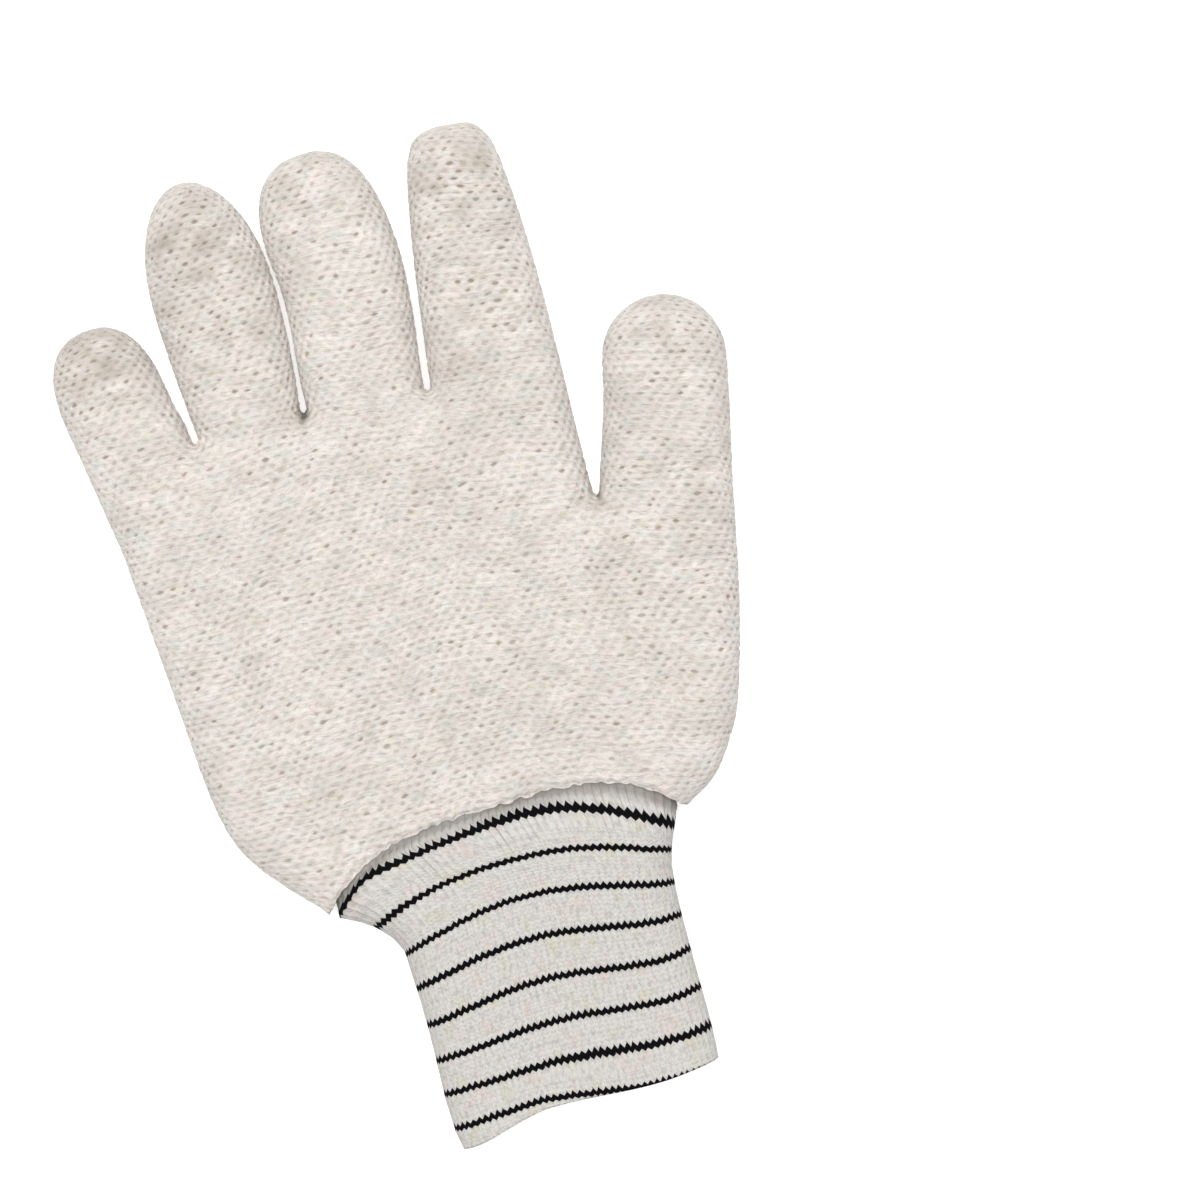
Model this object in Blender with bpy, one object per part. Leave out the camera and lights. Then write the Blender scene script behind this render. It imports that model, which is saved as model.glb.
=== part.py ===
"""Loop-out cotton terry work glove with a striped rib-knit wrist, lying flat on its palm.

The body is two terry panels of one outline, sewn together all round the hand and open at the
wrist. The wrist tube goes a seam's width into that opening. Across is +X, towards the thumb,
along is +Y, towards the fingertips, and up is +Z. All lengths are in metres.
"""

import math
from typing import NamedTuple

import bmesh
import bpy
import numpy as np
from mathutils import Vector
from mathutils.geometry import delaunay_2d_cdt

# Driving sizes of the hand
HAND_LENGTH = 0.202
PALM_WIDTH = 0.129
FINGER_GAP = 0.002

# Driving sizes of the terry body
TERRY_WALL = 0.003
BACK_RISE = 0.0100
PALM_DEPTH = 0.0065
BACK_ROLL = 0.0130
PALM_ROLL = 0.0080
SEAM_GAP = 0.0003
MOUTH_BOW = 0.0158
MOUTH_SKEW = 0.0025

# Driving sizes of the wrist tube
CUFF_LENGTH = 0.0720
CUFF_WIDTH = 0.0760
CUFF_OFFSET = 0.0022
CUFF_WALL = 0.0018
CUFF_INSERT = 0.0060
CUFF_CLEARANCE = 0.0008
HEM_SLANT = 0.0030

# Mesh steps; the edge rows are shares of BACK_ROLL, and their points keep ROW_SHARE of their distance
EDGE_STEP = 0.0058
INNER_STEP = 0.0080
EDGE_ROWS = (0.20, 0.46, 0.80)
ROW_SHARE = 0.97
CURVE_SAMPLES = 32
FLAT_STEPS = 9
ROUND_STEPS = 4
MERGE_DISTANCE = 1e-7

TERRY_COLOUR = (0.86, 0.80, 0.74, 1.0)
RIB_COLOUR = (0.72, 0.71, 0.68, 1.0)
CLOTH_ROUGHNESS = 0.95


class Digit(NamedTuple):
    """A finger or the thumb. Across lengths are shares of PALM_WIDTH, along ones of HAND_LENGTH."""

    name: str
    tip_across: float
    tip_along: float
    lean: float
    half_width: float
    tip_round: float
    tip_power: float
    taper: float
    left_bulge: float
    right_bulge: float


# Lean and taper are in degrees. A bulge moves a side outwards a third of the way up.
DIGITS = (
    Digit("little", -0.603, 0.839, -8.7, 0.114, 0.120, 2.4, -1.4, 0.000, 0.007),
    Digit("ring", -0.322, 1.001, -2.0, 0.131, 0.152, 2.0, 0.6, 0.004, 0.007),
    Digit("middle", -0.066, 0.996, -6.7, 0.134, 0.140, 2.5, -0.7, 0.005, 0.005),
    Digit("index", 0.259, 0.984, 3.3, 0.112, 0.107, 4.0, 7.5, 0.000, 0.000),
    Digit("thumb", 0.607, 0.686, 10.0, 0.133, 0.087, 2.0, 0.0, 0.000, 0.000),
)


class Spot(NamedTuple):
    """A place in plan, as shares of PALM_WIDTH across and HAND_LENGTH along."""

    across: float
    along: float


CROTCHES = (
    Spot(-0.430, 0.656),
    Spot(-0.190, 0.659),
    Spot(0.077, 0.645),
    Spot(0.369, 0.448),
)

# The side of the palm below the little finger, down to the wrist opening
LITTLE_SIDE = (
    Spot(-0.643, 0.535),
    Spot(-0.619, 0.356),
    Spot(-0.595, 0.178),
    Spot(-0.562, 0.099),
    Spot(-0.495, 0.040),
    Spot(-0.416, -0.012),
)

# The side of the palm below the thumb, up from the wrist opening
THUMB_SIDE = (
    Spot(0.384, 0.005),
    Spot(0.449, 0.028),
    Spot(0.501, 0.069),
    Spot(0.546, 0.124),
    Spot(0.605, 0.255),
    Spot(0.657, 0.415),
)


class Fold(NamedTuple):
    """A soft valley in the back, in the shares of a Spot. Its depth is a share of BACK_RISE."""

    name: str
    across: float
    along: float
    lean: float
    half_length: float
    half_width: float
    depth: float


FOLDS = (
    Fold("palm_left", -0.205, 0.215, 15.0, 0.125, 0.055, 0.13),
    Fold("palm_middle", -0.045, 0.180, 15.0, 0.125, 0.050, 0.15),
    Fold("palm_right", 0.215, 0.250, -20.0, 0.150, 0.060, 0.09),
    Fold("little_tip", -0.600, 0.777, 35.0, 0.045, 0.050, 0.12),
    Fold("ring_tip", -0.344, 0.910, 20.0, 0.045, 0.060, 0.11),
    Fold("middle_tip", -0.098, 0.945, 30.0, 0.040, 0.055, 0.10),
    Fold("index_tip", 0.216, 0.880, 25.0, 0.045, 0.050, 0.11),
)


class Ring(NamedTuple):
    """A ring of the wrist tube, at a share of CUFF_LENGTH below the wrist opening.

    Flare is 1 where the ring is as wide as the opening lets it be and 0 where it has its own
    width. Bow is a share of MOUTH_BOW. The drops of its under and upper side run from 0, in the
    opening, to 1, where the tube lies on the ground.
    """

    share: float
    flare: float
    bow: float
    under_drop: float
    upper_drop: float


RINGS = (
    Ring(0.00, 1.00, 1.00, 0.00, 0.00),
    Ring(0.03, 1.00, 0.92, 0.05, 0.00),
    Ring(0.07, 0.83, 0.66, 0.25, 0.02),
    Ring(0.11, 0.60, 0.53, 0.50, 0.05),
    Ring(0.16, 0.36, 0.48, 0.80, 0.12),
    Ring(0.22, 0.16, 0.41, 0.97, 0.22),
    Ring(0.31, 0.05, 0.31, 1.00, 0.40),
    Ring(0.42, 0.00, 0.19, 1.00, 0.62),
    Ring(0.60, 0.00, 0.07, 1.00, 0.88),
    Ring(0.80, 0.03, 0.00, 1.00, 1.00),
    Ring(0.93, 0.00, -0.08, 1.00, 1.00),
    Ring(1.00, -0.07, -0.06, 1.00, 1.00),
)

SEAM_HEIGHT = PALM_DEPTH + SEAM_GAP / 2


def place(spot):
    """A spot's place in plan, in metres."""
    return np.array((spot.across * PALM_WIDTH, spot.along * HAND_LENGTH))


def smooth_curve(points):
    """A curve through points, as a dense run of places, with each turn rounded."""
    points = np.array(points)
    slopes = np.gradient(points, axis=0)
    run = []
    for start, end, start_slope, end_slope in zip(points, points[1:], slopes, slopes[1:]):
        run.extend(bezier(start, start + start_slope / 3, end - end_slope / 3, end)[:-1])
    return run + [points[-1]]


def bezier(start, start_handle, end_handle, end):
    """Places along a cubic curve, both ends included."""
    run = []
    for t in np.linspace(0.0, 1.0, CURVE_SAMPLES):
        s = 1.0 - t
        near = s**3 * start + 3 * s * s * t * start_handle
        far = 3 * s * t * t * end_handle + t**3 * end
        run.append(near + far)
    return run


def digit_side(digit, root, side, bulge):
    """One side of a digit from its root to its tip; side is -1 for the left and 1 for the right."""
    lean = math.radians(digit.lean)
    axis = np.array((math.sin(lean), math.cos(lean)))
    outwards = side * np.array((math.cos(lean), -math.sin(lean)))
    half_width = digit.half_width * PALM_WIDTH
    tip_round = digit.tip_round * HAND_LENGTH
    taper = math.tan(math.radians(digit.taper))
    base = place(Spot(digit.tip_across, digit.tip_along)) - axis * tip_round
    shoulder = base + outwards * half_width
    reach = np.linalg.norm(shoulder - root) / 3
    root_handle = root + (shoulder - root) / 3 + outwards * bulge * PALM_WIDTH
    shoulder_handle = shoulder - (axis - outwards * taper) * reach
    run = bezier(root, root_handle, shoulder_handle, shoulder)
    for angle in np.linspace(0.0, math.pi / 2, CURVE_SAMPLES)[1:]:
        rise = math.sin(angle)
        closing = (1.0 - rise**digit.tip_power) ** (1.0 / digit.tip_power)
        width = (half_width - taper * tip_round * rise) * closing
        run.append(base + axis * tip_round * rise + outwards * width)
    return run


def even_steps(run, step):
    """The same line with places about a step apart."""
    run = np.array(run)
    lengths = np.concatenate(([0.0], np.cumsum(np.linalg.norm(np.diff(run, axis=0), axis=1))))
    count = max(2, round(lengths[-1] / step))
    stations = np.linspace(0.0, lengths[-1], count + 1)
    return np.column_stack([np.interp(stations, lengths, run[:, i]) for i in range(2)])


def sewn_edge():
    """The seam line, from the wrist opening up the little side, round the digits and down again."""
    half_gap = np.array((FINGER_GAP / 2, 0.0))
    crotches = [place(spot) for spot in CROTCHES]
    left_roots = [place(LITTLE_SIDE[0])] + [crotch + half_gap for crotch in crotches]
    right_roots = [crotch - half_gap for crotch in crotches] + [place(THUMB_SIDE[-1])]
    little_side = smooth_curve([place(spot) for spot in reversed(LITTLE_SIDE)])
    thumb_side = smooth_curve([place(spot) for spot in reversed(THUMB_SIDE)])
    pieces = []
    for digit, left_root, right_root in zip(DIGITS, left_roots, right_roots):
        run = digit_side(digit, left_root, -1, digit.left_bulge)
        run += digit_side(digit, right_root, 1, digit.right_bulge)[-2::-1]
        if digit is DIGITS[0]:
            run = little_side[:-1] + run
        if digit is DIGITS[-1]:
            run = run + thumb_side[1:]
        pieces.append(even_steps(run, EDGE_STEP))
        if digit is not DIGITS[-1]:
            pieces.append([right_root + (FINGER_GAP / 2, -FINGER_GAP / 2)])
    return np.vstack(pieces)


def mouth_rise(s, bow):
    """How far a line across the wrist bows towards the fingers; s runs from -1 to 1."""
    return bow * (MOUTH_BOW + MOUTH_SKEW * s) * (1.0 - s * s)


def mouth_edge():
    """The edge of the wrist opening, from its thumb side to its little side, ends left out."""
    right = place(THUMB_SIDE[0])
    left = place(LITTLE_SIDE[-1])
    run = []
    for s in np.linspace(1.0, -1.0, 2 * CURVE_SAMPLES):
        run.append((left + right) / 2 + (right - left) / 2 * s + (0.0, mouth_rise(s, 1.0)))
    return even_steps(run, EDGE_STEP)[1:-1]


def nearest_on(line, points):
    """For each point, its distance to a line and the direction away from the line."""
    starts = line[:-1]
    spans = line[1:] - starts
    offsets = points[:, None, :] - starts[None, :, :]
    shares = np.clip((offsets * spans).sum(axis=2) / (spans**2).sum(axis=1), 0.0, 1.0)
    away = offsets - shares[:, :, None] * spans
    distances = np.linalg.norm(away, axis=2)
    best = distances.argmin(axis=1)
    rows = np.arange(len(points))
    distance = distances[rows, best]
    return distance, away[rows, best] / np.maximum(distance, MERGE_DISTANCE)[:, None]


def is_inside(loop, points):
    """Which points lie within a closed loop."""
    inside = np.zeros(len(points), dtype=bool)
    for start, end in zip(loop, np.roll(loop, -1, axis=0)):
        crosses = (start[1] > points[:, 1]) != (end[1] > points[:, 1])
        rise = end[1] - start[1] if end[1] != start[1] else 1.0
        at = start[0] + (points[:, 1] - start[1]) / rise * (end[0] - start[0])
        inside ^= crosses & (points[:, 0] < at)
    return inside


def edge_rows(seam, loop):
    """Rows of points beside the seam, where the panels curve down to it, none of them crowded."""
    closed = np.vstack((loop, loop[:1]))
    kept = []
    for share in EDGE_ROWS:
        row = seam + edge_normals(seam) * share * BACK_ROLL
        distance, _ = nearest_on(closed, row)
        for point in row[is_inside(loop, row) & (distance > ROW_SHARE * share * BACK_ROLL)]:
            if not kept or np.linalg.norm(np.array(kept) - point, axis=1).min() > EDGE_STEP / 3:
                kept.append(point)
    return np.array(kept)


def lattice(seam, loop):
    """Staggered rows of points inside a loop, clear of its edge and of the rows beside the seam."""
    row_step = INNER_STEP * math.sqrt(3) / 2
    low = loop.min(axis=0)
    high = loop.max(axis=0)
    points = []
    for row, along in enumerate(np.arange(low[1], high[1], row_step)):
        for across in np.arange(low[0] + INNER_STEP / 2 * (row % 2), high[0], INNER_STEP):
            points.append((across, along))
    points = np.array(points)
    points = points[is_inside(loop, points)]
    points = points[nearest_on(seam, points)[0] > EDGE_ROWS[-1] * BACK_ROLL + INNER_STEP / 2]
    return points[nearest_on(np.vstack((loop, loop[:1])), points)[0] > INNER_STEP / 2]


def edge_normals(line):
    """The direction into the cloth at each place of the seam line, which runs clockwise."""
    spans = np.diff(line, axis=0)
    sides = np.column_stack((spans[:, 1], -spans[:, 0])) / np.linalg.norm(spans, axis=1)[:, None]
    mixed = np.vstack((sides[:1], sides[:-1] + sides[1:], sides[-1:]))
    return mixed / np.linalg.norm(mixed, axis=1)[:, None]


def fold_depth(points):
    """How far the folds lower the back at each point."""
    depth = np.zeros(len(points))
    for fold in FOLDS:
        lean = math.radians(fold.lean)
        offset = points - place(Spot(fold.across, fold.along))
        down = offset @ (math.sin(lean), math.cos(lean)) / (fold.half_length * HAND_LENGTH)
        over = offset @ (math.cos(lean), -math.sin(lean)) / (fold.half_width * PALM_WIDTH)
        depth += fold.depth * BACK_RISE * np.exp(-(down**2) - over**2)
    return depth


class Plan:
    """The flat layout that both panels share: its points, triangles and distances to the seam."""

    def __init__(self):
        seam = sewn_edge()
        loop = np.vstack((seam, mouth_edge()))
        points = np.vstack((loop, edge_rows(seam, loop), lattice(seam, loop)))
        vectors = [Vector(point) for point in points]
        rim = list(range(len(loop)))
        result = delaunay_2d_cdt(vectors, [], [rim], 1, MERGE_DISTANCE)
        self.rim_count = len(loop)
        self.points = points
        self.triangles = [[result[3][i][0] for i in face] for face in result[2]]
        self.distance, self.away = nearest_on(seam, points)
        self.distance[: len(seam)] = 0.0
        self.away[: len(seam)] = edge_normals(seam)


def panel_sides(plan, rise, roll, depth):
    """The outer and inner surface of a panel, as places with heights measured from the seam."""
    angle = np.minimum(plan.distance / roll, 1.0) * math.pi / 2
    cos, sin = np.cos(angle), np.sin(angle)
    steep = np.hypot(cos / roll, sin / rise)
    moved = roll * (1.0 - cos) - np.minimum(plan.distance, roll)
    lowered = depth * sin**2
    outer = plan.points + plan.away * moved[:, None]
    inner = outer + plan.away * (TERRY_WALL * cos / roll / steep)[:, None]
    outer_height = rise * sin - lowered
    inner_height = outer_height - TERRY_WALL * sin / rise / steep
    return np.column_stack((outer, outer_height)), np.column_stack((inner, inner_height))


def add_material(name, colour):
    """A matt cloth material."""
    material = bpy.data.materials.new(name)
    material.use_nodes = True
    shader = material.node_tree.nodes["Principled BSDF"]
    shader.inputs["Base Color"].default_value = colour
    shader.inputs["Roughness"].default_value = CLOTH_ROUGHNESS
    shader.inputs["Metallic"].default_value = 0.0
    material.diffuse_color = colour
    return material


def add_piece(name, places, faces, material, parent):
    """A closed piece of cloth as an object under its parent."""
    mesh = bpy.data.meshes.new(name)
    mesh.from_pydata([tuple(place) for place in places], [], faces)
    shape = bmesh.new()
    shape.from_mesh(mesh)
    bmesh.ops.recalc_face_normals(shape, faces=shape.faces)
    bmesh.ops.triangulate(shape, faces=[face for face in shape.faces if len(face.verts) > 3])
    shape.to_mesh(mesh)
    shape.free()
    mesh.materials.append(material)
    mesh.shade_smooth()
    piece = bpy.data.objects.new(name, mesh)
    bpy.context.collection.objects.link(piece)
    piece.parent = parent
    return piece


def add_panel(name, plan, sides, direction, material, parent):
    """A terry panel; direction is 1 for the back, which curves up, and -1 for the palm."""
    base = SEAM_HEIGHT + direction * SEAM_GAP / 2
    places = np.vstack(sides)
    places[:, 2] = base + direction * places[:, 2]
    count = len(plan.points)
    faces = [tuple(triangle) for triangle in plan.triangles]
    faces += [tuple(count + i for i in reversed(triangle)) for triangle in plan.triangles]
    for i in range(plan.rim_count):
        j = (i + 1) % plan.rim_count
        faces.append((i, j, count + j, count + i))
    return add_piece(name, places, faces, material, parent)


def ring_outline(half_width, upper, under, wall):
    """One ring of the wrist tube: across places, and heights over the line between its ends."""
    inset = TERRY_WALL + CUFF_CLEARANCE + wall
    outline = []
    for side, roll, reach_up in ((1, BACK_ROLL, upper), (-1, PALM_ROLL, under)):
        flat = half_width - wall - (roll - inset)
        for angle in np.linspace(0.0, math.pi / 2, ROUND_STEPS + 1)[:-1]:
            reach = (roll - inset) * math.cos(angle)
            outline.append((side * (flat + reach), side * (reach_up - wall) * math.sin(angle)))
        for share in np.linspace(1.0, -1.0, FLAT_STEPS + 1):
            outline.append((side * flat * share, side * (reach_up - wall)))
        for angle in np.linspace(math.pi / 2, 0.0, ROUND_STEPS + 1)[1:-1]:
            reach = (roll - inset) * math.cos(angle)
            outline.append((-side * (flat + reach), side * (reach_up - wall) * math.sin(angle)))
    return outline


def cuff_ring(ring, wall):
    """The places of one ring, for the outer side where wall is 0 and the inner side otherwise."""
    left = place(LITTLE_SIDE[-1])
    right = place(THUMB_SIDE[0])
    mouth_half = (right[0] - left[0]) / 2 - TERRY_WALL - CUFF_CLEARANCE
    half_width = CUFF_WIDTH / 2 + ring.flare * (mouth_half - CUFF_WIDTH / 2)
    middle = CUFF_OFFSET + ring.flare * ((left[0] + right[0]) / 2 - CUFF_OFFSET)
    along = (left[1] + right[1]) / 2 - ring.share * CUFF_LENGTH
    mouth_slant = (right[1] - left[1]) / 2
    slant = mouth_slant + max(ring.share, 0.0) * (HEM_SLANT - mouth_slant)
    full_drop = TERRY_WALL + CUFF_CLEARANCE
    under = PALM_DEPTH - full_drop
    height = SEAM_HEIGHT - ring.under_drop * (full_drop + SEAM_GAP / 2)
    upper = BACK_RISE - full_drop + (ring.under_drop - ring.upper_drop) * full_drop
    places = []
    for across, up in ring_outline(half_width, upper, under, wall):
        s = across / half_width
        places.append((middle + across, along + mouth_rise(s, ring.bow) + slant * s, height + up))
    return places


def add_cuff(material, parent):
    """The knit wrist tube, a seam's width of it inside the body."""
    inserted = Ring(-CUFF_INSERT / CUFF_LENGTH, 1.0, 1.0, 0.0, 0.0)
    rings = (inserted,) + RINGS
    places = []
    for wall in (0.0, CUFF_WALL):
        for ring in rings:
            places += cuff_ring(ring, wall)
    layer = len(places) // 2
    around = layer // len(rings)
    faces = []
    for i in range(around):
        j = (i + 1) % around
        for row in range(len(rings) - 1):
            a, b = row * around, (row + 1) * around
            faces.append((a + i, a + j, b + j, b + i))
            faces.append((layer + a + j, layer + a + i, layer + b + i, layer + b + j))
        last = layer - around
        faces.append((i, j, layer + j, layer + i))
        faces.append((last + j, last + i, layer + last + i, layer + last + j))
    return add_piece("rib_cuff", places, faces, material, parent)


def centre_on_ground(glove):
    """Moves the glove so that the origin is under the middle of its box."""
    corners = np.array([vertex.co for piece in glove.children for vertex in piece.data.vertices])
    low = corners.min(axis=0)
    high = corners.max(axis=0)
    glove.location = (-(low[0] + high[0]) / 2, -(low[1] + high[1]) / 2, -low[2])


def main():
    for old in list(bpy.data.objects):
        bpy.data.objects.remove(old)
    glove = bpy.data.objects.new("glove", None)
    bpy.context.collection.objects.link(glove)
    terry = add_material("terry_cotton", TERRY_COLOUR)
    rib = add_material("rib_knit", RIB_COLOUR)
    plan = Plan()
    folds = fold_depth(plan.points)
    level = np.zeros(len(plan.points))
    add_panel("back_panel", plan, panel_sides(plan, BACK_RISE, BACK_ROLL, folds), 1, terry, glove)
    add_panel("palm_panel", plan, panel_sides(plan, PALM_DEPTH, PALM_ROLL, level), -1, terry, glove)
    add_cuff(rib, glove)
    centre_on_ground(glove)
    bpy.context.view_layer.update()


main()
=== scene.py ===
"""The cotton terry work glove as it looks: loop-out terry, a striped rib-knit wrist, soft light.

Lengths are in millimetres and become metres where a mesh or a place is made. Across is +X,
towards the thumb, along is +Y, towards the fingertips, and up is +Z, as in the frame.
"""

import math

import bmesh
import bpy
import numpy as np
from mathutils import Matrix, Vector
from mathutils.geometry import delaunay_2d_cdt
from mathutils.kdtree import KDTree

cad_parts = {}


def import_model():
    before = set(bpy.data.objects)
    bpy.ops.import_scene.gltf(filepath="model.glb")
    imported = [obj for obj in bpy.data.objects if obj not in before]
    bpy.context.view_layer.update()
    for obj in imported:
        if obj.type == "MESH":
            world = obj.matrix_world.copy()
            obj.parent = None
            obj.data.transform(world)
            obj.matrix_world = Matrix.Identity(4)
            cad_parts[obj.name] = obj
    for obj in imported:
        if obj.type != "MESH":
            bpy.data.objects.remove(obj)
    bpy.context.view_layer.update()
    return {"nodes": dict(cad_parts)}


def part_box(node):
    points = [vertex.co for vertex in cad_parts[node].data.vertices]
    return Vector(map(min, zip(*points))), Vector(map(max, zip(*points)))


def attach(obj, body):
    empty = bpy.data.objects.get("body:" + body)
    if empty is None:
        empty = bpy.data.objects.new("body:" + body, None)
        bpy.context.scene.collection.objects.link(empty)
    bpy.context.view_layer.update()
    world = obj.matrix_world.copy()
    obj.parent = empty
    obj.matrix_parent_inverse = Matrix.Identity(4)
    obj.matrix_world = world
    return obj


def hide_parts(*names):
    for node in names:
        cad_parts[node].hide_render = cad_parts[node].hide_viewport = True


MM = 0.001

# The panels' rounded edges and walls, as in the frame
TERRY_WALL = 3.0
BACK_ROLL = 13.0
PALM_ROLL = 8.0

# Reading the frame's seam line: how near points merge, how level its edges are, how steep the faces
# beside it, how sharp a corner is, and how many places a smooth stretch gets
MERGE_DISTANCE = 1e-6
LEVEL_STEP = 1e-5
FLAT_SLOPE = -0.99
EDGE_SLOPE = 0.08
CORNER_COSINE = 0.72
CURVE_SAMPLES = 24
MOUTH_SAMPLES = 200

# Guards: the least distance and normal to divide by, and how near two points are one
LEAST_DISTANCE = 1e-6
LEAST_NORMAL = 1e-9
SAME_POINT = 1e-7

# The terry's edge over the wrist: how far it bows, how squarely at the edge and in the tube below,
# and between which shares of the tube's length the one becomes the other
MOUTH_BOW = 15.6
MOUTH_SQUARE = 3.6
TUBE_ROUND = 2.0
SQUARE_SPAN = (0.02, 0.16)

# The wrist tube, as in the frame but for its offset, which lies nearer to the little side
CUFF_LENGTH = 72.0
CUFF_WIDTH = 76.0
CUFF_WALL = 1.8
CUFF_INSERT = 6.0
CUFF_CLEARANCE = 0.8
HEM_SLANT = 3.0
CUFF_OFFSET = 0.82

# The terry's loops: their pitch along a row and from row to row, from where the rows sink towards
# the thumb and how much, how the yarn swings, slants and reaches, how deep and uneven it is, how
# deep a closed gap is, and which part of the depth is level with each panel's smooth wall
LOOP_PITCH = 3.3
ROW_PITCH = 1.95
ROW_BEND_START = -30.0
ROW_BEND = 0.0014
LOOP_SWING = 0.20
LOOP_SLANT = 0.05
YARN_REACH = 0.52
LOOP_DEPTH = 0.75
YARN_UNEVEN = 0.10
YARN_CHANGES = (2.0, 1.6)
CLOSED_DEPTH = 0.30
BACK_SUNK = 0.80
PALM_SUNK = 1.1

# The panels' meshes: steps from row to row, along a row and along the seam, how far the points stay
# from the edge, and the inner side's step, with how open its loops look
STEPS_PER_ROW = 4
LOOP_STEP = 0.70
SEAM_STEP = 0.62
LATTICE_MARGIN = 0.7
LINING_STEP = 8.0
LINING_OPEN = 0.3

# How far the loops gape: the least, what luck and patches add, and less near the wrist
OPEN_LEAST = 0.10
OPEN_LUCK = 0.78
OPEN_POWER = 2.8
OPEN_PATCH = 0.12
PATCH_CELL = 13.0
CRUMPLED_EVEN = 0.35
EDGE_CLOSED = 0.35
EDGE_CLOSED_REACH = 6.0

# How grey the cloth is: the middle amount, then what fine and wide patches change
GREY = 0.30
FINE_GREY = 0.36
FINE_GREY_CELL = 3.4
WIDE_GREY = 0.26
WIDE_GREY_CELL = 8.0

# The terry's edge at the wrist: how far it stands over the tube, its uneven loops, its thickness,
# how soon the loops are full, and the swell beside it
EDGE_REACH = 0.7
EDGE_LOOPS = 0.55
EDGE_LOOP_CELL = 1.5
EDGE_THICKNESS = 0.5
EDGE_FADE = 1.5
EDGE_SWELL = 0.55
EDGE_SWELL_AT = 5.0
EDGE_SWELL_REACH = 3.0

# The wrist tube's ribs and the steps of its mesh, then how the ribs stand out and how they are
# gathered, pleated and drawn in where the tube is sewn in; nothing lies lower than the last value
RIBS = 90
STEPS_PER_RIB = 6
TUBE_STEP = 0.75
CORNER_STEPS = 16
INNER_RINGS = 14
RIB_DEPTH = 0.16
RIB_ROUND = 0.8
RIB_LEVEL = 0.75
RIB_GATHERED = 1.6
GATHER_DEPTH = 0.40
GATHER_REACH = 5.0
PLEAT_RIBS = 2.3
GROOVE_DEPTH = 0.9
GROOVE_REACH = 1.3
LOWEST = 0.02

# The uneven hem: how far it rises left of the middle and falls back to the right, where it does,
# and the share of the tube's length at which this starts
HEM_LIFT = 4.2
LIFT_SPAN = (-1.0, -0.3)
HEM_SINK = 4.0
SINK_SPAN = (-0.35, 0.7)
HEM_START = 0.80

# The stripes' middles, as shares of the tube's length, and the degree of the curves that they
# follow; the least stripe number over the first one, and plain values for the inner side
STRIPES = (0.035, 0.114, 0.250, 0.382, 0.521, 0.664, 0.797, 0.933)
DRIFT_DEGREE = 4
BARE_LEVEL = 0.51
INNER_LEVEL = 0.5
INNER_BELOW = 9.0
INNER_SPACING = 10.0

# The stripes' shape: how far they reach up and down, plain and by their teeth, how soft their edges
# are, how the first one is spread and up to which stripe number, and how uneven the teeth are
STRIPE_UP = 0.35
TOOTH_UP = 1.05
STRIPE_DOWN = 1.15
TOOTH_DOWN = 0.65
STRIPE_EDGE = 0.10
FIRST_SPREAD = 0.78
FIRST_SPAN = (1.35, 1.5)
TOOTH_LEAST = 0.7
TOOTH_LUCK = 0.6

# How far the stripes lie off even rings: share of the tube's length, then millimetres towards the
# hand at each place across it
DRIFT_ACROSS = (-42.0, -30.0, -15.0, 0.0, 15.0, 30.0, 42.0)
STRIPE_DRIFT = np.array((
    (0.035, 0.9, -0.5, -0.9, -0.1, -0.7, -1.6, -1.7),
    (0.114, 0.5, 0.9, -0.5, -0.5, -1.2, -3.0, -3.2),
    (0.250, 1.4, 1.6, 0.9, 0.7, -1.0, -2.2, -2.6),
    (0.521, 0.6, 0.9, 0.9, 0.6, -1.9, -2.6, -2.2),
    (0.797, 1.2, 0.7, 0.5, -0.6, -2.1, -3.7, -3.5),
    (0.933, 1.2, 0.6, -2.7, -3.3, -4.1, -5.7, -6.0),
))

# The view: its turn, what it centres on, the width it shows, and that width's height
VIEW_TILT = 15.0
VIEW_CENTRE = (39.5, -1.7)
VIEW_WIDTH = 330.0
VIEW_HEIGHT = 10.0
LENS = 100.0
SENSOR = 36.0

# The light from all round and from a soft lamp, and the floor under the glove
WORLD_STRENGTH = 0.34
KEY_POWER = 30.0
KEY_PLACE = (0.0, 260.0, 1500.0)
KEY_SIZE = 1400.0
FLOOR_GLOW = 0.45
FLOOR_GREY = 0.80
FLOOR_ROUGHNESS = 0.9
FLOOR_SIZE = 6000.0
FLOOR_DROP = 0.02

# The names of the two finishes
TERRY_SLOT = "terry_cotton"
RIB_SLOT = "rib_knit"

# Random values: how many a table has each way, and the seed of each use
NOISE_SIZE = 128
LUCK_SIZE = 256
YARN_SEED = 6
OPEN_SEED = 7
PATCH_SEED = 8
EDGE_SEED = 9
FINE_GREY_SEED = 12
WIDE_GREY_SEED = 13
PLEAT_SEED = 31
BACK_SEED = 100
PALM_SEED = 200


def smooth_noise(places, cell, seed):
    """Smooth random values from -1 to 1 at places in plan, each changing over about a cell."""
    table = np.random.default_rng(seed).uniform(-1.0, 1.0, (NOISE_SIZE, NOISE_SIZE))
    grid = places[:, :2] / cell
    low = np.floor(grid).astype(int)
    share = grid - low
    share = share * share * (3.0 - 2.0 * share)
    x, y = low[:, 0] % NOISE_SIZE, low[:, 1] % NOISE_SIZE
    x1, y1 = (x + 1) % NOISE_SIZE, (y + 1) % NOISE_SIZE
    near = table[x, y] * (1 - share[:, 0]) + table[x1, y] * share[:, 0]
    far = table[x, y1] * (1 - share[:, 0]) + table[x1, y1] * share[:, 0]
    return near * (1 - share[:, 1]) + far * share[:, 1]


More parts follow.
